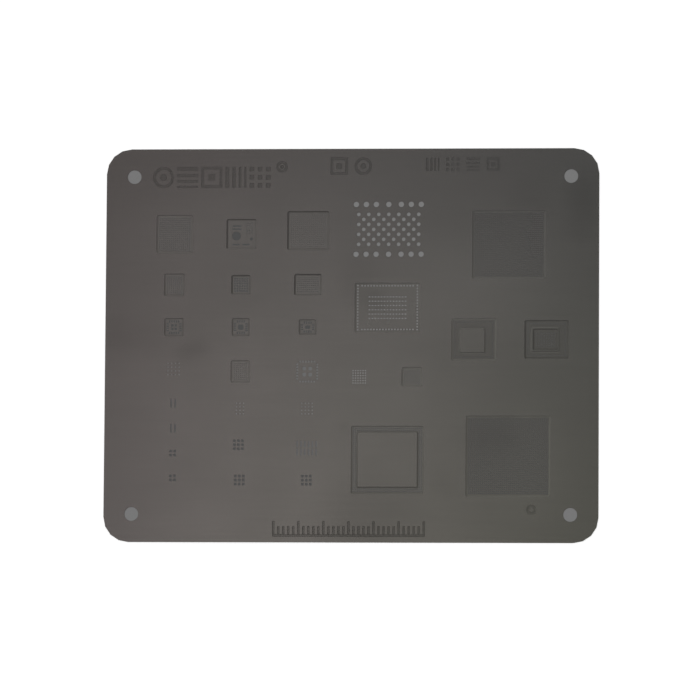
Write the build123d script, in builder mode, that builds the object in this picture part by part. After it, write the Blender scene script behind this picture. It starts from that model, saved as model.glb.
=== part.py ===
from build123d import *
import os

# Solder paste stencil: one thin stainless sheet with half-etched recesses in its upper face
# and the apertures of many chip packages cut through it

# Sheet
sheet_length = 98.7
sheet_width = 78.8
sheet_thickness = 0.25
corner_radius = 5.0
hole_inset = 5.6
hole_diameter = 2.75

# Half-etching: each recess leaves a thinner web under it
recess_depth = 0.13

# Small round apertures are cut in short flats
round_aperture_sides = 10

# Block of small chips: three columns, counted from the left edge and the top edge
first_column_inset = 13.8
column_pitch = 13.4
row_1_inset = 17.1
row_2_inset = 27.3
row_3_inset = 35.8
row_4_inset = 44.7
row_5_inset = 52.1
row_6_inset = 59.7
row_7_inset = 66.4
column_1 = first_column_inset - sheet_length / 2
column_2 = column_1 + column_pitch
column_3 = column_2 + column_pitch
row_1 = sheet_width / 2 - row_1_inset
row_2 = sheet_width / 2 - row_2_inset
row_3 = sheet_width / 2 - row_3_inset
row_4 = sheet_width / 2 - row_4_inset
row_5 = sheet_width / 2 - row_5_inset
row_6 = sheet_width / 2 - row_6_inset
row_7 = sheet_width / 2 - row_7_inset

# Patterns that stand a little off their row or column
wide_recess_lift = 0.65
first_array_lift = 0.5
upper_pads_lift = 0.35
upper_pads_shift = -0.25
slots_drop = 0.3

# Recesses of the small chips whose apertures are too fine for this model: column, row, length, width
fine_recesses = (
    (column_1, row_1, 7.1, 7.3),
    (column_1, row_2, 3.8, 4.2),
    (column_2, row_2, 3.6, 3.6),
    (column_2, row_4, 3.6, 4.2),
    (column_3, row_1 + wide_recess_lift, 8.1, 7.5),
    (column_3, row_2, 5.2, 4.0),
)

# Open arrays of the small block, cut through the full sheet:
# column, row, pads across and down, their pitch and side
open_arrays = (
    (column_1, row_4 + first_array_lift, 4, 4, 0.75, 0.26),
    (column_2, row_5, 3, 4, 0.7, 0.26),
    (column_3, row_5, 4, 4, 0.7, 0.28),
)

# Leadless chips of the third row: a row of short slots along each side of the recess, and pads in its middle
leadless_slot_width = 0.26
leadless_slot_length = 0.5
leadless_slot_pitch = 0.45
leadless_margin = 0.25
leadless_pad_pitch = 0.7

# Column, recess length and width, slots across and down, pads each way, their length and width
leadless_chips = (
    (column_1, 3.6, 3.3, 5, 4, 2, 0.5, 0.5),
    (column_2, 3.3, 3.3, 4, 4, 1, 1.1, 1.1),
    (column_3, 3.2, 2.8, 4, 3, 1, 1.0, 0.7),
)

# Sensor chip of the first row: a round pad, a dot, two pairs of bars and a close block of pads
sensor_side = 5.7
sensor_pad_diameter = 1.7
sensor_pad_place = (-1.0, -0.4)
sensor_dot_diameter = 0.6
sensor_dot_place = (2.0, -1.0)
sensor_bar_width = 0.3
upper_bar_length = 1.8
upper_bar_pitch = 0.6
upper_bars_place = (-0.9, 1.3)
lower_bar_length = 1.5
lower_bar_pitch = 2.0
lower_bars_place = (-0.1, -2.1)
sensor_block_place = (1.6, 1.2)
sensor_columns = 3
sensor_rows = 5
sensor_pitch = 0.5
sensor_pad = 0.24

# Smallest chips, cut through the full sheet: square pads, or two upright bars
smallest_row_inset = 66.0
smallest_row_pitch = 4.97
smallest_rows = 2
pad_size = 0.55
pad_pitch = 0.8
bar_length = 1.7
bar_width = 0.3
pair = 2
triple = 3

# Framed chip of the small block: a row of pads along each side and four in the middle
framed_side_pads = 6
framed_pitch = 0.57
framed_pad = 0.38
framed_middle_pad = 0.75
framed_middle_pitch = 1.2

# Slotted chip of the small block: two rows of upright slots
slot_count = 6
slot_pitch = 0.76
slot_width = 0.34
slot_length = 1.25
slot_row_pitch = 1.6

# Storage chip: staggered round apertures between two rows of large ones
storage_offset_x = 7.35
storage_inset_y = 16.2
storage_pitch = 2.0
storage_columns = 7
storage_rows = 4
storage_hole = 0.73
storage_large_hole = 1.08
storage_outer_rows = 10.0
storage_group_spacing = 9.0
storage_group_holes = 3

# Radio module: a row of apertures along each side of its recess and a close array in the middle
radio_offset_x = 7.2
radio_inset_y = 31.9
radio_length = 12.8
radio_width = 9.6
radio_pitch = 0.6
radio_aperture = 0.3
radio_side_spacing = 11.9
radio_side_count = 16
radio_end_spacing = 8.75
radio_end_count = 18
radio_middle_aperture_length = 0.4
radio_middle_aperture_width = 0.24
radio_middle_columns = 13
radio_middle_rows = 6
radio_middle_row_pitch = 0.86

# Two converters below the radio module
converter_inset_y = 45.75
open_converter_offset_x = 1.65
converter_pads = 6
converter_pitch = 0.5
converter_pad = 0.26
blind_converter_offset_x = 12.15
blind_converter_length = 3.8
blind_converter_width = 3.5

# Memory chip that sits on a processor: a band all round and plain sheet inside
memory_offset_x = 7.35
memory_inset_y = 62.3
memory_length = 14.2
memory_width = 13.2
memory_band = 1.06

# Processors, counted from the right edge
processor_inset_x = 18.0
upper_processor_inset_y = 19.3
upper_processor_length = 14.3
upper_processor_width = 13.3
lower_processor_inset_y = 61.55
lower_processor_length = 16.5
lower_processor_width = 15.8

# Two power chips between the processors, one with a plain island and one with a standing rib,
# each a little off centre
power_inset_y = 38.3
island_chip_inset_x = 24.9
island_chip_length = 8.6
island_chip_width = 8.1
island_length = 5.1
island_width = 4.9
island_shift_x = -0.3
island_shift_y = -0.2
rib_chip_inset_x = 10.4
rib_chip_length = 8.5
rib_chip_width = 7.4
rib_length = 5.6
rib_width = 4.9
rib_thickness = 0.45
rib_shift_x = -0.25

# Ring mark near the lower right hole
ring_inset_x = 13.3
ring_inset_y = 72.2
ring_diameter = 1.8
ring_line = 0.3


def recess(centre, length, width):
    """A half-etched rectangle, drawn in the open sketch."""
    with Locations(centre):
        Rectangle(length, width)


def pads(centre, across, down, pitch, side):
    """A grid of square apertures, drawn in the open sketch."""
    with Locations(centre):
        with GridLocations(pitch, pitch, across, down):
            Rectangle(side, side)


def round_aperture(diameter):
    """A small round aperture in short flats, which keep the model light, drawn in the open sketch."""
    RegularPolygon(diameter / 2, round_aperture_sides)


storage_centre = (storage_offset_x, sheet_width / 2 - storage_inset_y)
radio_centre = (radio_offset_x, sheet_width / 2 - radio_inset_y)
converter_y = sheet_width / 2 - converter_inset_y
open_converter_centre = (open_converter_offset_x, converter_y)
blind_converter_centre = (blind_converter_offset_x, converter_y)
memory_centre = (memory_offset_x, sheet_width / 2 - memory_inset_y)
processor_x = sheet_length / 2 - processor_inset_x
upper_processor_centre = (processor_x, sheet_width / 2 - upper_processor_inset_y)
lower_processor_centre = (processor_x, sheet_width / 2 - lower_processor_inset_y)
power_y = sheet_width / 2 - power_inset_y
island_chip_centre = (sheet_length / 2 - island_chip_inset_x, power_y)
rib_chip_centre = (sheet_length / 2 - rib_chip_inset_x, power_y)
ring_centre = (sheet_length / 2 - ring_inset_x, sheet_width / 2 - ring_inset_y)
framed_row_spacing = (framed_side_pads + 1) * framed_pitch
smallest_row = sheet_width / 2 - smallest_row_inset

with BuildPart() as stencil_plate:
    with BuildSketch():
        RectangleRounded(sheet_length, sheet_width, corner_radius)
    extrude(amount=sheet_thickness)
    with GridLocations(sheet_length - 2 * hole_inset, sheet_width - 2 * hole_inset, 2, 2):
        Hole(hole_diameter / 2)

    # Half-etched recesses in the upper face
    with BuildSketch(Plane.XY.offset(sheet_thickness)):
        for column, row, length, width in fine_recesses:
            recess((column, row), length, width)
        for column, length, width, *apertures in leadless_chips:
            recess((column, row_3), length, width)
        recess((column_2, row_1), sensor_side, sensor_side)
        recess(radio_centre, radio_length, radio_width)
        recess(blind_converter_centre, blind_converter_length, blind_converter_width)
        recess(upper_processor_centre, upper_processor_length, upper_processor_width)
        recess(lower_processor_centre, lower_processor_length, lower_processor_width)
        with Locations(memory_centre):
            Rectangle(memory_length, memory_width)
            Rectangle(memory_length - 2 * memory_band, memory_width - 2 * memory_band, mode=Mode.SUBTRACT)
        with Locations(island_chip_centre):
            Rectangle(island_chip_length, island_chip_width)
            with Locations((island_shift_x, island_shift_y)):
                Rectangle(island_length, island_width, mode=Mode.SUBTRACT)
        with Locations(rib_chip_centre):
            Rectangle(rib_chip_length, rib_chip_width)
            with Locations((rib_shift_x, 0)):
                Rectangle(rib_length, rib_width, mode=Mode.SUBTRACT)
                Rectangle(rib_length - 2 * rib_thickness, rib_width - 2 * rib_thickness)
        with Locations(ring_centre):
            Circle(ring_diameter / 2)
            Circle(ring_diameter / 2 - ring_line, mode=Mode.SUBTRACT)
    extrude(amount=-recess_depth, mode=Mode.SUBTRACT)

    # Round apertures of the storage chip
    with BuildSketch():
        with Locations(storage_centre):
            with GridLocations(storage_pitch, storage_pitch, storage_columns, storage_rows):
                round_aperture(storage_hole)
            with GridLocations(storage_pitch, storage_pitch, storage_columns - 1, storage_rows - 1):
                round_aperture(storage_hole)
            with GridLocations(storage_pitch, storage_outer_rows, 1, 2):
                round_aperture(storage_large_hole)
            with GridLocations(storage_group_spacing, storage_outer_rows, 2, 2):
                with GridLocations(storage_pitch, storage_pitch, storage_group_holes, 1):
                    round_aperture(storage_large_hole)
    extrude(amount=2 * sheet_thickness, both=True, mode=Mode.SUBTRACT)

    # Square apertures of the radio module and the open converter
    with BuildSketch():
        with Locations(radio_centre):
            with GridLocations(radio_side_spacing, radio_pitch, 2, radio_side_count):
                Rectangle(radio_aperture, radio_aperture)
            with GridLocations(radio_pitch, radio_end_spacing, radio_end_count, 2):
                Rectangle(radio_aperture, radio_aperture)
            with GridLocations(radio_pitch, radio_middle_row_pitch, radio_middle_columns, radio_middle_rows):
                Rectangle(radio_middle_aperture_length, radio_middle_aperture_width)
        pads(open_converter_centre, converter_pads, converter_pads, converter_pitch, converter_pad)
    extrude(amount=2 * sheet_thickness, both=True, mode=Mode.SUBTRACT)

    # Slots and middle pads of the leadless chips
    with BuildSketch():
        for column, length, width, across, down, middle, pad_length, pad_width in leadless_chips:
            row_spacing_x = length - 2 * leadless_margin - leadless_slot_length
            row_spacing_y = width - 2 * leadless_margin - leadless_slot_length
            with Locations((column, row_3)):
                with GridLocations(leadless_slot_pitch, row_spacing_y, across, 2):
                    Rectangle(leadless_slot_width, leadless_slot_length)
                with GridLocations(row_spacing_x, leadless_slot_pitch, 2, down):
                    Rectangle(leadless_slot_length, leadless_slot_width)
                with GridLocations(leadless_pad_pitch, leadless_pad_pitch, middle, middle):
                    Rectangle(pad_length, pad_width)
    extrude(amount=2 * sheet_thickness, both=True, mode=Mode.SUBTRACT)

    # Apertures of the sensor chip
    with BuildSketch():
        with Locations((column_2, row_1)):
            with Locations(sensor_pad_place):
                Circle(sensor_pad_diameter / 2)
            with Locations(sensor_dot_place):
                round_aperture(sensor_dot_diameter)
            with Locations(upper_bars_place):
                with GridLocations(upper_bar_length, upper_bar_pitch, 1, 2):
                    Rectangle(upper_bar_length, sensor_bar_width)
            with Locations(lower_bars_place):
                with GridLocations(lower_bar_pitch, sensor_bar_width, 2, 1):
                    Rectangle(lower_bar_length, sensor_bar_width)
            pads(sensor_block_place, sensor_columns, sensor_rows, sensor_pitch, sensor_pad)
    extrude(amount=2 * sheet_thickness, both=True, mode=Mode.SUBTRACT)

    # Pads of the open arrays, the smallest chips, the framed chip and the slotted chip
    with BuildSketch():
        for column, row, across, down, pitch, side in open_arrays:
            pads((column, row), across, down, pitch, side)
        for step in range(smallest_rows):
            pads((column_1, smallest_row + step * smallest_row_pitch), pair, pair, pad_pitch, pad_size)
            with Locations((column_1, smallest_row + (step + smallest_rows) * smallest_row_pitch)):
                with GridLocations(pad_pitch, pad_pitch, pair, 1):
                    Rectangle(bar_width, bar_length)
        pads((column_2 + upper_pads_shift, row_6 + upper_pads_lift), triple, triple, pad_pitch, pad_size)
        for column in (column_2, column_3):
            pads((column, row_7), triple, triple, pad_pitch, pad_size)
        with Locations((column_3, row_4)):
            with GridLocations(framed_row_spacing, framed_pitch, 2, framed_side_pads):
                Rectangle(framed_pad, framed_pad)
            with GridLocations(framed_pitch, framed_row_spacing, framed_side_pads, 2):
                Rectangle(framed_pad, framed_pad)
        pads((column_3, row_4), pair, pair, framed_middle_pitch, framed_middle_pad)
        with Locations((column_3, row_6 - slots_drop)):
            with GridLocations(slot_pitch, slot_row_pitch, slot_count, 2):
                Rectangle(slot_width, slot_length)
    extrude(amount=2 * sheet_thickness, both=True, mode=Mode.SUBTRACT)

os.makedirs("parts", exist_ok=True)
stencil_plate.part.label = "stencil_plate"
export_step(stencil_plate.part, "parts/stencil_plate.step")
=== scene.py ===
"""Looks of the solder paste stencil: its camera, sheet, steel finishes, floor and light."""

import math

import bpy
from mathutils import Matrix, Vector
from mathutils.geometry import delaunay_2d_cdt


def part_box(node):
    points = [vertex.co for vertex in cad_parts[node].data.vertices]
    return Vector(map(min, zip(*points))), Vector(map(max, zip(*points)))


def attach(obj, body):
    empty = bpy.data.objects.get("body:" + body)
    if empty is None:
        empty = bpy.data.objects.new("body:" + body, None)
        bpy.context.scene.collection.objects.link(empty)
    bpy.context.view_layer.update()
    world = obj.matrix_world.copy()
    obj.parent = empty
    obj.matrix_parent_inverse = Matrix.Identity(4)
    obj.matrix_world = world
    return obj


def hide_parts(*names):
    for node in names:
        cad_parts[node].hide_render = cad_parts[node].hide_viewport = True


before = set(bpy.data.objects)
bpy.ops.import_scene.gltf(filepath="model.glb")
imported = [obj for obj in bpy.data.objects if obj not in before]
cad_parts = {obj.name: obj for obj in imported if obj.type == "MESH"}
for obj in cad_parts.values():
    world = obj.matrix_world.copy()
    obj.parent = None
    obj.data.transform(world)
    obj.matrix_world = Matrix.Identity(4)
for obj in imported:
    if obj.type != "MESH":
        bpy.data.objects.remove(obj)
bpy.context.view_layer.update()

# The sheet as the frame has it, in millimetres as every size of the layout
MM = 0.001
SHEET_LOW, SHEET_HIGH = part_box("stencil_plate")
SHEET_LENGTH = (SHEET_HIGH.x - SHEET_LOW.x) / MM
SHEET_WIDTH = (SHEET_HIGH.y - SHEET_LOW.y) / MM
SHEET_THICKNESS = (SHEET_HIGH.z - SHEET_LOW.z) / MM
LEFT = -SHEET_LENGTH / 2
RIGHT = SHEET_LENGTH / 2
TOP = SHEET_WIDTH / 2
BOTTOM = -SHEET_WIDTH / 2
CORNER_RADIUS = 5.0
HOLE_INSET = 5.6
HOLE_DIAMETER = 2.75
EDGE_ROUNDING = 0.03

# Half-etching: the acid leaves a hollow wall, steep at its rim and nearly level at its foot
RECESS_DEPTH = 0.13
RECESS_CORNER = 0.25
RIM_SLOPE = math.radians(40)
FOOT_SLOPE = math.radians(2)
WALL_STEPS = 4
SHARPEST_CORNER = 0.04
ROUNDEST_CORNER_SHARE = 0.45
SLOT_CORNER_SHARE = 0.22

# Cutting a flat face into triangles: all of them are given back, and points nearer than this are joined
ALL_TRIANGLES = 0
JOINED_WITHIN = 1e-7

# Camera: straight above but for a small tilt towards the near right corner
CAMERA_DISTANCE = 1.1106
CAMERA_TILT = math.radians(6.77)
CAMERA_TURN = math.radians(41.3)
CAMERA_ROLL = math.radians(0.385)
CAMERA_AIM = Vector((-0.00025, -0.00097, 0))
CAMERA_LENS = 286.55
CAMERA_SENSOR = 36.0
CAMERA_REACH = 20


def make_camera():
    """The photograph's viewpoint."""
    data = bpy.data.cameras.new("camera")
    data.lens = CAMERA_LENS
    data.sensor_width = CAMERA_SENSOR
    data.clip_end = CAMERA_REACH
    camera = bpy.data.objects.new("camera", data)
    bpy.context.scene.collection.objects.link(camera)
    away = Vector((
        math.sin(CAMERA_TILT) * math.sin(CAMERA_TURN),
        -math.sin(CAMERA_TILT) * math.cos(CAMERA_TURN),
        math.cos(CAMERA_TILT),
    ))
    side = Vector((0, 1, 0)).cross(away).normalized()
    up = away.cross(side)
    rolled_side = side * math.cos(CAMERA_ROLL) + up * math.sin(CAMERA_ROLL)
    rolled_up = away.cross(rolled_side)
    turn = Matrix((rolled_side, rolled_up, away)).transposed().to_4x4()
    camera.matrix_world = Matrix.Translation(CAMERA_AIM + away * CAMERA_DISTANCE) @ turn
    bpy.context.scene.camera = camera


make_camera()


# Loops of points in the plane, all counter-clockwise

def rounded_rectangle(centre, length, width, radius, steps=4):
    """A rectangle whose corners are arcs of that many steps."""
    points = []
    for number, (side_x, side_y) in enumerate(((1, 1), (-1, 1), (-1, -1), (1, -1))):
        corner_x = centre[0] + side_x * (length / 2 - radius)
        corner_y = centre[1] + side_y * (width / 2 - radius)
        for step in range(steps + 1):
            angle = math.pi / 2 * (number + step / steps)
            points.append((corner_x + radius * math.cos(angle), corner_y + radius * math.sin(angle)))
    return points


def circle(centre, diameter, sides):
    """A round loop, with a flat towards each axis."""
    angles = [2 * math.pi * (step + 0.5) / sides for step in range(sides)]
    return [(centre[0] + diameter / 2 * math.cos(a), centre[1] + diameter / 2 * math.sin(a)) for a in angles]


def grid(centre, across, down, pitch_x, pitch_y=None):
    """Centres of an array."""
    pitch_y = pitch_y or pitch_x
    return [
        (centre[0] + (column - (across - 1) / 2) * pitch_x, centre[1] + ((down - 1) / 2 - row) * pitch_y)
        for row in range(down)
        for column in range(across)
    ]


def border(centre, length, width, pitch):
    """Centres along the sides of a rectangle, spaced evenly at about the pitch."""
    across = round(length / pitch) + 1
    down = round(width / pitch) + 1
    levels = grid(centre, across, 2, length / (across - 1), width)
    uprights = grid(centre, 2, down - 2, length, width / (down - 1))
    return levels + uprights


def shifted(centre, right, up):
    """A place beside another."""
    return (centre[0] + right, centre[1] + up)


# Features of a face: their rings lead away from it, and the last one bounds a new face or an opening

class Feature:
    """A recess, an island, a mark or an aperture. A ring is a loop and its drop, None at the underside."""

    def __init__(self, rings, inside=(), wall="wall", face=None):
        self.rings = rings
        self.inside = list(inside)
        self.wall = wall
        self.face = face


def hollow_wall(shape, depth, rising=False):
    """Rings of an etched wall, in section an arc between its two slopes. A rising one leads to an island."""
    radius = depth / (math.cos(FOOT_SLOPE) - math.cos(RIM_SLOPE))
    run = radius * (math.sin(RIM_SLOPE) - math.sin(FOOT_SLOPE))
    rings = []
    for step in range(WALL_STEPS + 1):
        slope = RIM_SLOPE + (FOOT_SLOPE - RIM_SLOPE) * step / WALL_STEPS
        out = run / 2 - radius * (math.sin(RIM_SLOPE) - math.sin(slope))
        drop = -radius * (math.cos(slope) - math.cos(RIM_SLOPE))
        rings.append((shape(-out if rising else out), drop))
    if rising:
        rings = [(loop, depth + drop) for loop, drop in reversed(rings)]
    return rings


def rectangle_shape(centre, length, width, corner=RECESS_CORNER):
    """A rectangle that can be drawn a little larger or smaller."""
    def drawn(out):
        sides = (length + 2 * out, width + 2 * out)
        radius = min(max(corner + out, SHARPEST_CORNER), ROUNDEST_CORNER_SHARE * min(sides))
        return rounded_rectangle(centre, *sides, radius)
    return drawn


def round_shape(centre, diameter, sides):
    """A circle that can be drawn a little larger or smaller."""
    return lambda out: circle(centre, diameter + 2 * out, sides)


def recess(centre, length, width, inside=(), floor="etched", wall="wall"):
    """A half-etched rectangle."""
    rings = hollow_wall(rectangle_shape(centre, length, width), RECESS_DEPTH)
    return Feature(rings, inside, wall, floor)


def island(centre, length, width, inside=()):
    """Sheet left standing in a recess."""
    rings = hollow_wall(rectangle_shape(centre, length, width), RECESS_DEPTH, rising=True)
    return Feature(rings, inside, face="rolled")


def apertures(centres, size, height=None, sides=8):
    """Apertures through the sheet: round ones, or slots with small round corners where a height is given."""
    if height is None:
        loops = [circle(centre, size, sides) for centre in centres]
    else:
        radius = SLOT_CORNER_SHARE * min(size, height)
        loops = [rounded_rectangle(centre, size, height, radius, 1) for centre in centres]
    return [Feature([(loop, 0), (loop, None)], wall="cut") for loop in loops]


def large_apertures(centres, diameter, sides):
    """Round apertures with the small bevel that etching leaves on the rim."""
    features = []
    for centre in centres:
        rim = circle(centre, diameter + 2 * EDGE_ROUNDING, sides)
        bore = circle(centre, diameter, sides)
        features.append(Feature([(rim, 0), (bore, -EDGE_ROUNDING), (bore, None)], wall="cut"))
    return features


class SheetMesh:
    """Vertices and faces of a sheet, gathered face by face."""

    def __init__(self):
        self.vertices = []
        self.faces = []
        self.finishes = []
        self.openings = []

    def ring(self, loop, height):
        """A loop's vertices at one height, as indices."""
        first = len(self.vertices)
        self.vertices.extend((x * MM, y * MM, height * MM) for x, y in loop)
        return list(range(first, len(self.vertices)))

    def wall(self, start, end, finish):
        """Quads between two rings of equal length, in one finish or in one for each pair of sides."""
        left_and_top, right_and_bottom = finish if isinstance(finish, tuple) else (finish, finish)
        count = len(start)
        for here in range(count):
            there = (here + 1) % count
            self.faces.append((start[here], start[there], end[there], end[here]))
            along = Vector(self.vertices[start[there]]) - Vector(self.vertices[start[here]])
            # The first of a pair of finishes goes on the left and top walls, and paints shade there
            self.finishes.append(left_and_top if along.x + along.y < 0 else right_and_bottom)

    def flat(self, outer, inner, finish, upward=True):
        """A flat face inside the outer ring and outside the inner ones."""
        indices = outer + [index for ring in inner for index in ring]
        points = [Vector(self.vertices[index][:2]) / MM for index in indices]
        loops, first = [], 0
        for ring in [outer] + inner:
            loops.append(list(range(first, first + len(ring))))
            first += len(ring)
        cut = delaunay_2d_cdt(points, [], loops, ALL_TRIANGLES, JOINED_WITHIN, True)
        _, _, triangles, sources, _, owners = cut
        for triangle, owner in zip(triangles, owners):
            in_outer_only = owner == [0]
            if not in_outer_only:
                continue
            corners = [indices[sources[corner][0]] for corner in triangle]
            self.faces.append(tuple(corners if upward else reversed(corners)))
            self.finishes.append(finish)

    def face(self, outer, height, features, finish):
        """A flat face and, from it, each feature's wall and own face."""
        starts = []
        for feature in features:
            previous = None
            for loop, drop in feature.rings:
                level = 0 if drop is None else height + drop
                following = self.ring(loop, level)
                if previous is None:
                    starts.append(following)
                else:
                    self.wall(previous, following, feature.wall)
                previous = following
            if feature.face is None:
                self.openings.append(previous)
            else:
                self.face(previous, level, feature.inside, feature.face)
        self.flat(outer, starts, finish)

    def build(self, name, materials):
        """The finished mesh as an object."""
        mesh = bpy.data.meshes.new(name)
        mesh.from_pydata(self.vertices, [], self.faces)
        names = list(materials)
        for finish in names:
            mesh.materials.append(materials[finish])
        mesh.polygons.foreach_set("material_index", [names.index(finish) for finish in self.finishes])
        mesh.update()
        built = bpy.data.objects.new(name, mesh)
        bpy.context.scene.collection.objects.link(built)
        return built


# Layout: insets from the sheet's edges, as in the solid

COLUMN_1 = LEFT + 13.8
COLUMN_2 = COLUMN_1 + 13.4
COLUMN_3 = COLUMN_2 + 13.4
ROW_1 = TOP - 17.1
ROW_2 = TOP - 27.3
ROW_3 = TOP - 35.8
ROW_4 = TOP - 44.7
ROW_5 = TOP - 52.1
ROW_6 = TOP - 59.7
ROW_7 = TOP - 66.4

# Wall finishes of the recesses whose left and top walls get painted shade, darker than the other two
PAINTED_SHADE_LEFT_AND_TOP = ("painted_shade", "wall")

# Close arrays keep this much plain floor beside the recess's wall
ARRAY_MARGIN = 0.25
FINE_PITCH = 0.4
MIDDLE_PITCH = 0.5
MIDDLE_HOLE = 0.26
LEADLESS_PAD = 0.26
LEADLESS_PITCH = 0.45
LEADLESS_REACH = 0.5
PLAIN_PAD = 0.55
PLAIN_PITCH = 0.8


def array_chip(centre, length, width, hole, pitch=FINE_PITCH, sides=8, floor="etched", wall="wall"):
    """A recess filled with a close array."""
    across = int((length - 2 * ARRAY_MARGIN) / pitch)
    down = int((width - 2 * ARRAY_MARGIN) / pitch)
    array = apertures(grid(centre, across, down, pitch), hole, sides=sides)
    return recess(centre, length, width, array, floor, wall)


def leadless_chip(centre, length, width, across, down, middle):
    """A recess with a row of short slots along each side and pads in the middle."""
    row_x = length / 2 - ARRAY_MARGIN - LEADLESS_REACH / 2
    row_y = width / 2 - ARRAY_MARGIN - LEADLESS_REACH / 2
    upright = grid(centre, across, 2, LEADLESS_PITCH, 2 * row_y)
    level = grid(centre, 2, down, 2 * row_x, LEADLESS_PITCH)
    inside = apertures(upright, LEADLESS_PAD, LEADLESS_REACH) + apertures(level, LEADLESS_REACH, LEADLESS_PAD)
    return recess(centre, length, width, inside + middle)


def sensor_chip(centre):
    """A recess with one large round pad, a few bars and a block of dots."""
    side, bar = 5.7, 0.3
    inside = large_apertures([shifted(centre, -1.0, -0.4)], diameter=1.7, sides=24)
    inside += large_apertures([shifted(centre, 2.0, -1.0)], diameter=0.6, sides=12)
    inside += apertures([shifted(centre, -0.9, 1.0), shifted(centre, -0.9, 1.6)], 1.8, bar)
    inside += apertures([shifted(centre, 0.9, -2.1), shifted(centre, -1.1, -2.1)], 1.5, bar)
    inside += apertures(grid(shifted(centre, 1.6, 1.2), 3, 5, MIDDLE_PITCH), MIDDLE_HOLE)
    return recess(centre, side, side, inside, wall=PAINTED_SHADE_LEFT_AND_TOP)


def plain_pads(centre, across, down):
    """A few square pads, cut through the full sheet."""
    return apertures(grid(centre, across, down, PLAIN_PITCH), PLAIN_PAD, PLAIN_PAD)


def plain_array(centre, across, down, pitch, pad):
    """A close array of square apertures, cut through the full sheet."""
    return apertures(grid(centre, across, down, pitch), pad, pad)


def framed_chip(centre):
    """A row of pads along each side and four large ones in the middle, cut through the full sheet."""
    pitch, pad = 0.57, 0.38
    side_count = 6
    spacing = (side_count + 1) * pitch
    pads = grid(centre, 2, side_count, spacing, pitch) + grid(centre, side_count, 2, pitch, spacing)
    return apertures(pads, pad, pad) + plain_array(centre, 2, 2, pitch=1.2, pad=0.75)


def small_block():
    """The three columns of small chips."""
    smallest_y = TOP - 66.0
    smallest_step = 4.97
    features = []
    for number in range(2):
        features += plain_pads((COLUMN_1, smallest_y + number * smallest_step), 2, 2)
        bar_pair = grid((COLUMN_1, smallest_y + (number + 2) * smallest_step), 2, 1, PLAIN_PITCH)
        features += apertures(bar_pair, size=0.3, height=1.7)
    for centre in ((COLUMN_2 - 0.25, ROW_6 + 0.35), (COLUMN_2, ROW_7), (COLUMN_3, ROW_7)):
        features += plain_pads(centre, 3, 3)
    slots = grid((COLUMN_3, ROW_6 - 0.3), 6, 2, pitch_x=0.76, pitch_y=1.6)
    features += apertures(slots, size=0.34, height=1.25)
    features += framed_chip((COLUMN_3, ROW_4))
    features += plain_array((COLUMN_1, ROW_4 + 0.5), 4, 4, pitch=0.75, pad=0.26)
    features += plain_array((COLUMN_2, ROW_5), 3, 4, pitch=0.7, pad=0.26)
    features += plain_array((COLUMN_3, ROW_5), 4, 4, pitch=0.7, pad=0.28)
    four_pads = plain_array((COLUMN_1, ROW_3), 2, 2, pitch=0.7, pad=0.5)
    square_pad = apertures([(COLUMN_2, ROW_3)], size=1.1, height=1.1)
    flat_pad = apertures([(COLUMN_3, ROW_3)], size=1.0, height=0.7)
    return features + [
        leadless_chip((COLUMN_1, ROW_3), 3.6, 3.3, across=5, down=4, middle=four_pads),
        leadless_chip((COLUMN_2, ROW_3), 3.3, 3.3, across=4, down=4, middle=square_pad),
        leadless_chip((COLUMN_3, ROW_3), 3.2, 2.8, across=4, down=3, middle=flat_pad),
        array_chip((COLUMN_1, ROW_1), 7.1, 7.3, hole=0.25),
        sensor_chip((COLUMN_2, ROW_1)),
        array_chip((COLUMN_3, ROW_1 + 0.65), 8.1, 7.5, hole=0.17, wall=PAINTED_SHADE_LEFT_AND_TOP),
        array_chip((COLUMN_1, ROW_2), 3.8, 4.2, hole=0.23),
        array_chip((COLUMN_2, ROW_2), 3.6, 3.6, hole=0.4, pitch=MIDDLE_PITCH, wall=PAINTED_SHADE_LEFT_AND_TOP),
        array_chip((COLUMN_3, ROW_2), 5.2, 4.0, hole=0.23, wall=PAINTED_SHADE_LEFT_AND_TOP),
        array_chip((COLUMN_2, ROW_4), 3.6, 4.2, hole=0.17, wall="painted_light"),
    ]


def storage_chip():
    """Staggered round apertures between two rows of large ones."""
    centre = (7.35, TOP - 16.2)
    pitch = 2.0
    outer_rows = 10.0
    group_offset = 4.5
    small = grid(centre, 7, 4, pitch) + grid(centre, 6, 3, pitch)
    large = grid(centre, 1, 2, pitch, outer_rows)
    for side in (-group_offset, group_offset):
        large += grid(shifted(centre, side, 0), 3, 2, pitch, outer_rows)
    holes = large_apertures(small, diameter=0.73, sides=20)
    return holes + large_apertures(large, diameter=1.08, sides=24)


def radio_module():
    """A recess with a row of apertures along each side and a close array in the middle."""
    centre = (7.2, TOP - 31.9)
    pitch, side_pitch, row_pitch = 0.6, 0.59, 0.86
    spacing_x, spacing_y = 11.9, 8.75
    pads = grid(centre, 2, 16, spacing_x, side_pitch) + grid(centre, 18, 2, pitch, spacing_y)
    inside = apertures(pads, size=0.3, height=0.3)
    inside += apertures(grid(centre, 13, 6, pitch, row_pitch), size=0.38, height=0.22)
    return [recess(centre, 12.8, 9.6, inside, wall="painted_light")]


def converters():
    """Two small converters: one cut through the full sheet, one in a recess."""
    y = TOP - 45.75
    blind = array_chip((12.15, y), 3.8, 3.5, hole=0.23, wall="painted_light")
    return plain_array((1.65, y), 6, 6, MIDDLE_PITCH, MIDDLE_HOLE) + [blind]


def memory_chip():
    """A recessed band round plain sheet, with two rows of apertures in the band."""
    centre = (7.35, TOP - 62.3)
    length, width, band = 14.2, 13.2, 1.06
    hole = 0.28
    holes = []
    for inset in (band - FINE_PITCH, band + FINE_PITCH):
        holes += apertures(border(centre, length - inset, width - inset, FINE_PITCH), hole)
    middle = island(centre, length - 2 * band, width - 2 * band)
    return [recess(centre, length, width, [middle] + holes, wall="painted_light")]


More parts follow.
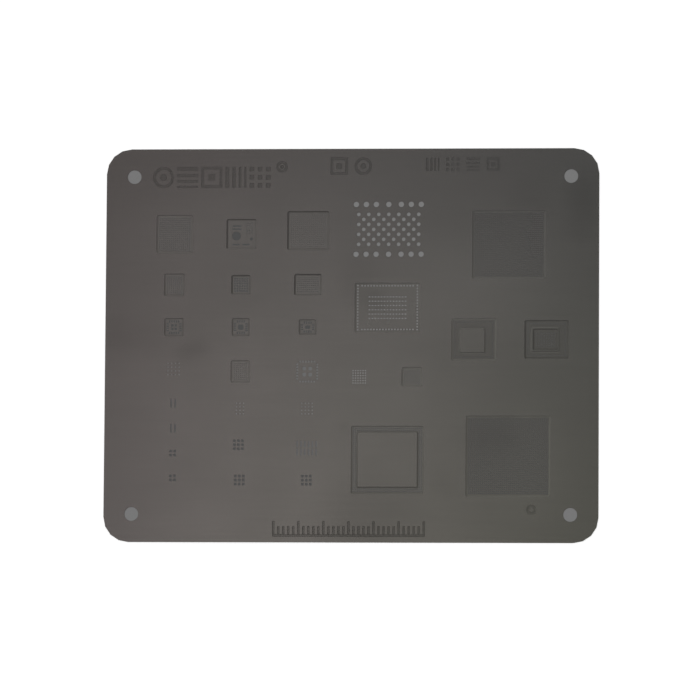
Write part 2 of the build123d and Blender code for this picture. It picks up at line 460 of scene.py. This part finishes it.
def processors():
    """Two large recesses with the closest arrays on the sheet."""
    x = RIGHT - 18.0
    return [
        array_chip((x, TOP - 19.3), 14.3, 13.3, hole=0.24, sides=6, floor="dull"),
        array_chip((x, TOP - 61.55), 16.5, 15.8, hole=0.28, sides=6, floor="dull", wall="painted_light"),
    ]


def power_chips():
    """One recess round a plain island and one round a standing rib."""
    y = TOP - 38.3
    left = (RIGHT - 24.9, y)
    right = (RIGHT - 10.4, y)
    left_holes = apertures(border(left, 7.5, 7.0, MIDDLE_PITCH), MIDDLE_HOLE)
    right_holes = apertures(border(right, 7.4, 6.3, MIDDLE_PITCH), MIDDLE_HOLE)
    rib_centre = shifted(right, -0.25, 0)
    middle_holes = apertures(grid(rib_centre, 8, 6, MIDDLE_PITCH), MIDDLE_HOLE)
    middle = recess(rib_centre, 4.7, 4.0, middle_holes, floor="dull", wall="dull")
    plain_island = island(shifted(left, -0.3, -0.2), 5.1, 4.9)
    standing_rib = island(rib_centre, 5.6, 4.9, [middle])
    return [
        recess(left, 8.6, 8.1, [plain_island] + left_holes, floor="dull", wall="painted_light"),
        recess(right, 8.5, 7.4, [standing_rib] + right_holes, floor="dull", wall="dull"),
    ]


def corner_hole_centres():
    """Places of the four locating holes."""
    return grid((0, 0), 2, 2, SHEET_LENGTH - 2 * HOLE_INSET, SHEET_WIDTH - 2 * HOLE_INSET)


def corner_holes():
    """Round locating holes."""
    return large_apertures(corner_hole_centres(), HOLE_DIAMETER, sides=48)


# Dark shallow marks: plain alignment and line-width figures, none of them a letter, number or sign

MARK_DEPTH = 0.05
MARK_LINE = 0.42
MARK_CORNER = 0.08
BAR_CORNER = 0.05
BAR_SHARES = (0.16, 0.13, 0.1, 0.07)
TARGET_DOT_SHARE = 0.3
SMALL_DOT_SHARE = 0.2
TICK_SIDE = 0.35
TICK_GAP = 0.15
SHORT_TICK_SHARE = 0.6
RING_DEPTH = 0.09


def etched(shape, inside=()):
    """A shallow dark mark."""
    return Feature(hollow_wall(shape, MARK_DEPTH), inside, wall="dark", face="dark")


def left_standing(shape, inside=()):
    """Plain sheet inside a mark."""
    return Feature(hollow_wall(shape, MARK_DEPTH, rising=True), inside, wall="dark", face="rolled")


def ring_target(centre, size):
    """A ring with a dot."""
    dot = etched(round_shape(centre, TARGET_DOT_SHARE * size, sides=16))
    inner = left_standing(round_shape(centre, size - 2 * MARK_LINE, sides=32), [dot])
    return [etched(round_shape(centre, size, sides=32), [inner])]


def square_mark(centre, side, inside=()):
    """A square dot, or the outside of a frame."""
    return etched(rectangle_shape(centre, side, side, MARK_CORNER), inside)


def square_target(centre, size):
    """A square frame with a square dot."""
    inner_side = size - 2 * MARK_LINE
    dot = square_mark(centre, TARGET_DOT_SHARE * size)
    inner = left_standing(rectangle_shape(centre, inner_side, inner_side, MARK_CORNER), [dot])
    return [square_mark(centre, size, [inner])]


def bars(centre, size, upright):
    """Four bars that grow finer, with equal gaps."""
    widths = [size * share for share in BAR_SHARES]
    gap = (size - sum(widths)) / (len(widths) - 1)
    start = -size / 2
    drawn = []
    for width in widths:
        place = start + width / 2
        start += width + gap
        if upright:
            shape = rectangle_shape(shifted(centre, place, 0), width, size, BAR_CORNER)
        else:
            shape = rectangle_shape(shifted(centre, 0, -place), size, width, BAR_CORNER)
        drawn.append(etched(shape))
    return drawn


def dots(centre, size):
    """Nine square dots."""
    side = SMALL_DOT_SHARE * size
    return [square_mark(place, side) for place in grid(centre, 3, 3, 2 * side)]


def tick_scale(centre, length, height):
    """A scale with a tick each millimetre, longer at each fifth, over a base line."""
    foot = centre[1] - height / 2
    long_tick = height - TICK_SIDE - TICK_GAP
    base = rectangle_shape((centre[0], foot + TICK_SIDE / 2), length + TICK_SIDE, TICK_SIDE, BAR_CORNER)
    drawn = [etched(base)]
    for number in range(int(length) + 1):
        tick = long_tick * (1.0 if number % 5 == 0 else SHORT_TICK_SHARE)
        place = (centre[0] - int(length) / 2 + number, foot + TICK_SIDE + TICK_GAP + tick / 2)
        drawn.append(etched(rectangle_shape(place, TICK_SIDE, tick, BAR_CORNER)))
    return drawn


def ring_mark():
    """The ring by the lower right hole."""
    centre = (RIGHT - 13.3, TOP - 72.2)
    inner_wall = hollow_wall(round_shape(centre, diameter=1.2, sides=24), RING_DEPTH, rising=True)
    outer_wall = hollow_wall(round_shape(centre, diameter=1.8, sides=24), RING_DEPTH)
    return [Feature(outer_wall, [Feature(inner_wall, face="rolled")], face="dark")]


def top_left_figures():
    """The row of large figures, and a small ring after them."""
    first, pitch, size = (-37.9, TOP - 5.7), 4.85, 4.1
    drawn = ring_target(first, size)
    drawn += bars(shifted(first, pitch, 0), size, upright=False)
    drawn += square_target(shifted(first, 2 * pitch, 0), size)
    drawn += bars(shifted(first, 3 * pitch, 0), size, upright=True)
    drawn += dots(shifted(first, 4 * pitch, 0), size)
    return drawn + ring_target((-14.1, TOP - 3.6), size=2.2)


def top_right_figures():
    """Two targets in the middle and a row of small figures."""
    middle_y, size = TOP - 3.5, 3.4
    drawn = square_target((-2.6, middle_y), size) + ring_target((2.2, middle_y), size)
    first, pitch, size = (16.1, TOP - 3.2), 4.05, 2.6
    drawn += bars(first, size, upright=True)
    drawn += dots(shifted(first, pitch, 0), size)
    drawn += bars(shifted(first, 2 * pitch, 0), size, upright=False)
    return drawn + square_target(shifted(first, 3 * pitch, 0), size)


def marks():
    """The ring, and the figures along the top and bottom edges."""
    scale = tick_scale((-0.3, BOTTOM + 2.7), length=30.0, height=3.0)
    return ring_mark() + top_left_figures() + top_right_figures() + scale


def make_sheet(materials):
    """The whole sheet, from its underside up."""
    shape = SheetMesh()
    outline = rectangle_shape((0, 0), SHEET_LENGTH, SHEET_WIDTH, CORNER_RADIUS)
    under = shape.ring(outline(-EDGE_ROUNDING), 0)
    low = shape.ring(outline(0), EDGE_ROUNDING)
    high = shape.ring(outline(0), SHEET_THICKNESS - EDGE_ROUNDING)
    upper = shape.ring(outline(-EDGE_ROUNDING), SHEET_THICKNESS)
    shape.wall(under, low, "wall")
    shape.wall(low, high, "cut")
    shape.wall(high, upper, "wall")
    features = corner_holes() + storage_chip() + small_block() + radio_module() + converters()
    features += memory_chip() + processors() + power_chips() + marks()
    shape.face(upper, SHEET_THICKNESS, features, "rolled")
    shape.flat(under, shape.openings, "rolled", upward=False)
    return shape.build("etched_sheet", materials)


# Steel finishes: the material's name, its warm and cool tint, roughness, streaks and pits

FINISHES = {
    "rolled": ("rolled_steel", (0.107, 0.096, 0.092), (0.101, 0.099, 0.090), 0.25, 0.12, 0.0),
    "etched": ("etched_floor", (0.121, 0.110, 0.105), (0.114, 0.112, 0.102), 0.28, 0.04, 0.3),
    "wall": ("etched_wall", (0.133, 0.122, 0.116), (0.125, 0.123, 0.112), 0.33, 0.0, 0.3),
    # Painted shade: a darker copy of the wall finish, for the left and top walls
    "painted_shade": ("painted_shade_wall", (0.096, 0.088, 0.084), (0.090, 0.089, 0.081), 0.33, 0.0, 0.3),
    # Painted light: a paler copy of the wall finish, that lightens the walls of the larger recesses
    "painted_light": ("painted_light_wall", (0.156, 0.143, 0.136), (0.147, 0.145, 0.131), 0.36, 0.0, 0.3),
    "cut": ("cut_wall", (0.100, 0.092, 0.088), (0.095, 0.093, 0.085), 0.4, 0.0, 0.0),
    "dull": ("dull_floor", (0.100, 0.091, 0.087), (0.094, 0.092, 0.084), 0.28, 0.04, 0.3),
    "dark": ("deep_etch", (0.093, 0.085, 0.081), (0.088, 0.086, 0.079), 0.28, 0.0, 0.5),
}

# How far clouds and streaks reach to each side of their middle, and what they change
NOISE_MIDDLE = 0.5
CLOUD_LOW, CLOUD_HIGH = 0.3, 0.7
CLOUD_SHADE = 0.015
CLOUD_ROUGHNESS = 0.015
STREAK_LOW, STREAK_HIGH = 0.25, 0.75
BUMP_DISTANCE = 0.00001


def add(tree, kind, settings=None, inputs=None):
    """A node with its settings, and its inputs set to values or linked to other nodes' sockets."""
    made = tree.nodes.new(kind)
    for name, value in (settings or {}).items():
        setattr(made, name, value)
    for socket, value in (inputs or {}).items():
        if isinstance(value, bpy.types.NodeSocket):
            tree.links.new(value, made.inputs[socket])
        else:
            made.inputs[socket].default_value = value
    return made


def new_group(name, inputs, outputs):
    """An empty shader group with named number inputs and outputs."""
    group = bpy.data.node_groups.new(name, "ShaderNodeTree")
    for label, default in inputs.items():
        socket = group.interface.new_socket(label, in_out="INPUT", socket_type="NodeSocketFloat")
        socket.default_value = default
    for label in outputs:
        group.interface.new_socket(label, in_out="OUTPUT", socket_type="NodeSocketFloat")
    return group, group.nodes.new("NodeGroupInput"), group.nodes.new("NodeGroupOutput")


def rolled_grain_group():
    """Fine streaks along the rolling direction."""
    settings = {"Streaks per metre": 5200.0, "Stretch": 60.0}
    group, given, result = new_group("rolled_grain", settings, ["Streaks"])
    place = add(group, "ShaderNodeTexCoord").outputs["Object"]
    stretch = add(group, "ShaderNodeCombineXYZ", inputs={"X": given.outputs["Stretch"], "Y": 1.0, "Z": 1.0})
    drawn = add(group, "ShaderNodeVectorMath", {"operation": "DIVIDE"}, {
        0: place, 1: stretch.outputs["Vector"],
    })
    streaks = add(group, "ShaderNodeTexNoise", inputs={
        "Vector": drawn.outputs["Vector"], "Scale": given.outputs["Streaks per metre"], "Detail": 3.0,
        "Roughness": 0.6,
    })
    group.links.new(streaks.outputs["Fac"], result.inputs["Streaks"])
    return group


def oxide_tint_group():
    """A slow change of hue, warm on the left and bluer to the far right, that wanders a little."""
    settings = {"Clouds per metre": 38.0, "Wander": 0.35, "Blueness": 0.055}
    group, given, result = new_group("oxide_tint", settings, ["Tint", "Blue", "Clouds"])
    place = add(group, "ShaderNodeTexCoord").outputs["Object"]
    clouds = add(group, "ShaderNodeTexNoise", inputs={
        "Vector": place, "Scale": given.outputs["Clouds per metre"], "Detail": 4.0,
    })
    across = add(group, "ShaderNodeSeparateXYZ", inputs={0: place})
    share = add(group, "ShaderNodeMapRange", inputs={
        "Value": across.outputs["X"], "From Min": LEFT * MM, "From Max": RIGHT * MM,
    })
    middle = add(group, "ShaderNodeMath", {"operation": "SUBTRACT"}, {
        0: clouds.outputs["Fac"], 1: NOISE_MIDDLE,
    })
    tint = add(group, "ShaderNodeMath", {"operation": "MULTIPLY_ADD", "use_clamp": True}, {
        0: middle.outputs[0], 1: given.outputs["Wander"], 2: share.outputs["Result"],
    })
    height = add(group, "ShaderNodeMapRange", inputs={
        "Value": across.outputs["Y"], "From Min": BOTTOM * MM, "From Max": TOP * MM,
        "To Min": -1.0, "To Max": 1.0,
    })
    corner = add(group, "ShaderNodeMath", {"operation": "MULTIPLY"}, {
        0: height.outputs["Result"], 1: share.outputs["Result"],
    })
    blue = add(group, "ShaderNodeMath", {"operation": "MULTIPLY_ADD"}, {
        0: corner.outputs[0], 1: given.outputs["Blueness"], 2: 1.0,
    })
    group.links.new(tint.outputs[0], result.inputs["Tint"])
    group.links.new(blue.outputs[0], result.inputs["Blue"])
    group.links.new(clouds.outputs["Fac"], result.inputs["Clouds"])
    return group


# Painted reflection and shade in soft patches where the steel is shown brighter or duller, with a few small
# stains among them: centre, reach, change of shade
PAINTED_SHEEN_AND_STAIN_PATCHES = (
    ((26, 13), (24, 16), 0.12),
    ((3, -35), (17, 14), -0.14),
    ((-31, -37), (16, 10), 0.08),
    ((-43, 3), (16, 7), -0.07),
    ((-33, 23), (20, 14), 0.07),
    ((36, -24), (12, 16), 0.09),
    ((46.5, 28), (6.5, 10), -0.14),
    ((8, -10), (22, 13), 0.06),
    ((-31.5, -1.6), (4.8, 2.8), -0.12),
    ((-47, 1), (5, 9), -0.05),
    ((1, 13), (7, 9), -0.06),
    ((35, 30), (7, 6), -0.05),
    ((28.5, -18.5), (9, 5.5), -0.09),
    ((36.1, -32.4), (1.6, 1.6), -0.08),
    ((5.0, 9.0), (4.2, 3.2), -0.11),
    ((-1.8, -15.6), (4, 3), -0.05),
    ((19, -27.5), (4.5, 4), -0.05),
    ((31, 20), (10, 9), 0.03),
    ((-20, -24), (13, 6), 0.03),
)


def painted_sheen_and_stain_group():
    """Painted reflection and shade, with a few stains, in soft patches with wandering edges, as a factor on
    the shade.
    """
    settings = {"Clouds per metre": 70.0, "Wander": 0.008}
    group, given, result = new_group("painted_sheen_and_stain_patches", settings, ["Shade"])
    place = add(group, "ShaderNodeTexCoord").outputs["Object"]
    clouds = add(group, "ShaderNodeTexNoise", inputs={
        "Vector": place, "Scale": given.outputs["Clouds per metre"], "Detail": 3.0,
    })
    wander = add(group, "ShaderNodeVectorMath", {"operation": "SUBTRACT"}, {
        0: clouds.outputs["Color"], 1: (NOISE_MIDDLE, NOISE_MIDDLE, NOISE_MIDDLE),
    })
    place = add(group, "ShaderNodeVectorMath", {"operation": "MULTIPLY_ADD"}, {
        0: wander.outputs["Vector"], 1: given.outputs["Wander"], 2: place,
    }).outputs["Vector"]
    shade = None
    for centre, reach, change in PAINTED_SHEEN_AND_STAIN_PATCHES:
        middle = (centre[0] * MM, centre[1] * MM, 0)
        offset = add(group, "ShaderNodeVectorMath", {"operation": "SUBTRACT"}, {0: place, 1: middle})
        share = add(group, "ShaderNodeVectorMath", {"operation": "DIVIDE"}, {
            0: offset.outputs["Vector"], 1: (reach[0] * MM, reach[1] * MM, 1),
        })
        distance = add(group, "ShaderNodeVectorMath", {"operation": "LENGTH"}, {0: share.outputs["Vector"]})
        patch = add(group, "ShaderNodeMapRange", {"interpolation_type": "SMOOTHSTEP"}, {
            "Value": distance.outputs["Value"], "To Min": change, "To Max": 0.0,
        })
        before = 1.0 if shade is None else shade.outputs[0]
        shade = add(group, "ShaderNodeMath", inputs={0: before, 1: patch.outputs["Result"]})
    group.links.new(shade.outputs[0], result.inputs["Shade"])
    return group


def etch_pitting_group():
    """The fine even pitting that acid leaves."""
    group, given, result = new_group("etch_pitting", {"Pits per metre": 16000.0}, ["Pits"])
    place = add(group, "ShaderNodeTexCoord").outputs["Object"]
    pits = add(group, "ShaderNodeTexNoise", inputs={
        "Vector": place, "Scale": given.outputs["Pits per metre"], "Detail": 2.0, "Roughness": 0.7,
    })
    group.links.new(pits.outputs["Fac"], result.inputs["Pits"])
    return group


def steel(groups, name, warm, cool, roughness, streaks, pits):
    """Steel in one finish: two tints, a roughness, and how much its streaks and pits show."""
    material = bpy.data.materials.new(name)
    material.use_nodes = True
    tree = material.node_tree
    surface = tree.nodes["Principled BSDF"]
    surface.inputs["Metallic"].default_value = 1.0
    tint = add(tree, "ShaderNodeGroup", {"node_tree": groups["tint"]})
    grain = add(tree, "ShaderNodeGroup", {"node_tree": groups["grain"]})
    pitting = add(tree, "ShaderNodeGroup", {"node_tree": groups["pitting"]})
    painted_sheen_and_stains = add(tree, "ShaderNodeGroup", {"node_tree": groups["painted_sheen_and_stains"]})
    hue = add(tree, "ShaderNodeMix", {"data_type": "RGBA"}, {
        "Factor": tint.outputs["Tint"], "A": (*warm, 1), "B": (*cool, 1),
    })
    cloud = add(tree, "ShaderNodeMapRange", inputs={
        "Value": tint.outputs["Clouds"], "From Min": CLOUD_LOW, "From Max": CLOUD_HIGH,
        "To Min": 1 - CLOUD_SHADE, "To Max": 1 + CLOUD_SHADE,
    })
    streak = add(tree, "ShaderNodeMapRange", inputs={
        "Value": grain.outputs["Streaks"], "From Min": STREAK_LOW, "From Max": STREAK_HIGH,
        "To Min": 1 - 0.5 * streaks, "To Max": 1 + 0.5 * streaks,
    })
    shade = add(tree, "ShaderNodeMath", {"operation": "MULTIPLY"}, {
        0: cloud.outputs["Result"], 1: streak.outputs["Result"],
    })
    # Painted reflection and shade, and a few stains, from the soft patches
    shade = add(tree, "ShaderNodeMath", {"operation": "MULTIPLY"}, {
        0: shade.outputs[0], 1: painted_sheen_and_stains.outputs["Shade"],
    })
    filtered = add(tree, "ShaderNodeCombineXYZ", inputs={"X": 1.0, "Y": 1.0, "Z": tint.outputs["Blue"]})
    colour = add(tree, "ShaderNodeVectorMath", {"operation": "MULTIPLY"}, {
        0: hue.outputs["Result"], 1: filtered.outputs["Vector"],
    })
    colour = add(tree, "ShaderNodeVectorMath", {"operation": "SCALE"}, {
        0: colour.outputs["Vector"], "Scale": shade.outputs[0],
    })
    tree.links.new(colour.outputs["Vector"], surface.inputs["Base Color"])
    spread = add(tree, "ShaderNodeMapRange", inputs={
        "Value": tint.outputs["Clouds"], "From Min": CLOUD_LOW, "From Max": CLOUD_HIGH,
        "To Min": roughness - CLOUD_ROUGHNESS, "To Max": roughness + CLOUD_ROUGHNESS,
    })
    tree.links.new(spread.outputs["Result"], surface.inputs["Roughness"])
    relief = add(tree, "ShaderNodeMath", {"operation": "MULTIPLY"}, {
        0: grain.outputs["Streaks"], 1: streaks,
    })
    relief = add(tree, "ShaderNodeMath", {"operation": "MULTIPLY_ADD"}, {
        0: pitting.outputs["Pits"], 1: pits, 2: relief.outputs[0],
    })
    bump = add(tree, "ShaderNodeBump", inputs={
        "Strength": 1.0, "Distance": BUMP_DISTANCE, "Height": relief.outputs[0],
    })
    tree.links.new(bump.outputs["Normal"], surface.inputs["Normal"])
    return material


def make_materials():
    """A material for each of the sheet's finishes."""
    groups = {
        "grain": rolled_grain_group(),
        "tint": oxide_tint_group(),
        "pitting": etch_pitting_group(),
        "painted_sheen_and_stains": painted_sheen_and_stain_group(),
    }
    return {finish: steel(groups, *values) for finish, values in FINISHES.items()}


# Floor and light

FLOOR_SIZE = 4.0
FLOOR_GAP = 0.00001
FLOOR_COLOUR = 0.85
FLOOR_LIFT = 0.6
MATT_ROUGHNESS = 0.9

# Painted shade under the sheet, a dark grey that glows where its openings show it, and paler patches of
# painted light where apertures show more light: place, length, width, grey
UNDER_SHEET_INSET = 2.5
PATCH_CORNER = 1.0
UNDER_SHEET_GLOW_GREYS = {
    "painted_shade_under_sheet": 0.074,
    "bar_card": 0.086,
    "even_card": 0.112,
    "middle_card": 0.135,
    "pale_card": 0.182,
    "light_card": 0.195,
}
PAINTED_LIGHT_PATCHES = (
    ((7.3, TOP - 17.0), 17.0, 14.0, "light_card"),
    ((7.3, TOP - 31.75), 17.0, 14.5, "pale_card"),
    ((1.65, TOP - 45.75), 5.0, 5.0, "light_card"),
    ((COLUMN_3, (ROW_4 + ROW_5) / 2), 6.0, 13.0, "middle_card"),
    ((COLUMN_3, ROW_6), 6.0, 5.0, "even_card"),
    ((COLUMN_2, ROW_5), 6.0, 5.0, "middle_card"),
    ((COLUMN_1, ROW_4), 6.0, 5.0, "middle_card"),
    ((COLUMN_1, TOP - 53.6), 4.0, 9.0, "bar_card"),
)


def shown_flat(name, grey, lift):
    """A matt grey that the camera and reflections see lifted by an even glow, which lights nothing."""
    material = bpy.data.materials.new(name)
    material.use_nodes = True
    tree = material.node_tree
    surface = tree.nodes["Principled BSDF"]
    surface.inputs["Base Color"].default_value = (grey, grey, grey, 1)
    surface.inputs["Roughness"].default_value = MATT_ROUGHNESS
    surface.inputs["Specular IOR Level"].default_value = 0.0
    surface.inputs["Emission Color"].default_value = (1, 1, 1, 1)
    path = add(tree, "ShaderNodeLightPath")
    seen = add(tree, "ShaderNodeMath", {"operation": "MAXIMUM"}, {
        0: path.outputs["Is Camera Ray"], 1: path.outputs["Is Glossy Ray"],
    })
    seen = add(tree, "ShaderNodeMath", {"operation": "MAXIMUM"}, {
        0: seen.outputs[0], 1: path.outputs["Is Transmission Ray"],
    })
    glow = add(tree, "ShaderNodeMath", {"operation": "MULTIPLY"}, {0: seen.outputs[0], 1: lift})
    tree.links.new(glow.outputs[0], surface.inputs["Emission Strength"])
    return material


def make_floor():
    """A pale floor, and under the sheet a glowing dark grey of painted shade, paler with painted light where
    its apertures show light.
    """
    shape = SheetMesh()
    patches = [(rounded_rectangle(*patch[:3], PATCH_CORNER), patch[3]) for patch in PAINTED_LIGHT_PATCHES]
    # Painted light under each corner hole
    for centre in corner_hole_centres():
        patches.append((circle(centre, 2 * HOLE_DIAMETER, 16), "pale_card"))
    under_sheet_outline = rectangle_shape((0, 0), SHEET_LENGTH, SHEET_WIDTH, CORNER_RADIUS)
    under_sheet_ring = shape.ring(under_sheet_outline(-UNDER_SHEET_INSET), 0)
    edge = rounded_rectangle((0, 0), FLOOR_SIZE / MM, FLOOR_SIZE / MM, CORNER_RADIUS, 1)
    shape.flat(shape.ring(edge, 0), [under_sheet_ring], "pale")
    patch_rings = [shape.ring(loop, 0) for loop, _ in patches]
    # Painted shade under the sheet, and painted light in its patches, as greys that glow
    shape.flat(under_sheet_ring, patch_rings, "painted_shade_under_sheet")
    for ring, (_, finish) in zip(patch_rings, patches):
        shape.flat(ring, [], finish)
    finishes = {"pale": shown_flat("pale_floor", FLOOR_COLOUR, FLOOR_LIFT)}
    finishes.update({name: shown_flat(name, 0.0, grey) for name, grey in UNDER_SHEET_GLOW_GREYS.items()})
    floor = shape.build("floor", finishes)
    floor.location.z = -FLOOR_GAP


def soft_box(name, place, length, width, power, aimed=True):
    """A soft lamp, aimed at the sheet or level with its sides along the sheet's."""
    data = bpy.data.lights.new(name, "AREA")
    data.shape = "RECTANGLE"
    data.size = length
    data.size_y = width
    data.energy = power
    lamp = bpy.data.objects.new(name, data)
    lamp.location = place
    if aimed:
        lamp.rotation_euler = Vector(place).to_track_quat("Z", "Y").to_euler()
    bpy.context.scene.collection.objects.link(lamp)


def make_light():
    """Even studio light: a tall soft box overhead and a weaker one low on the left and on the far side."""
    world = bpy.data.worlds.new("studio")
    bpy.context.scene.world = world
    world.use_nodes = True
    backdrop = world.node_tree.nodes["Background"]
    backdrop.inputs["Color"].default_value = (1, 1, 1, 1)
    backdrop.inputs["Strength"].default_value = 0.5
    soft_box("overhead_box", (-0.093, -0.052, 0.9), length=0.118, width=0.362, power=0.241, aimed=False)
    soft_box("left_box", (-0.9, 0.1, 0.6), length=0.6, width=0.6, power=0.58)
    soft_box("far_box", (-0.1, 0.9, 0.6), length=0.6, width=0.6, power=0.58)


materials = make_materials()
sheet = make_sheet(materials)
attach(sheet, "root")
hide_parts("stencil_plate")
make_floor()
make_light()
bpy.context.scene.view_settings.view_transform = "Standard"
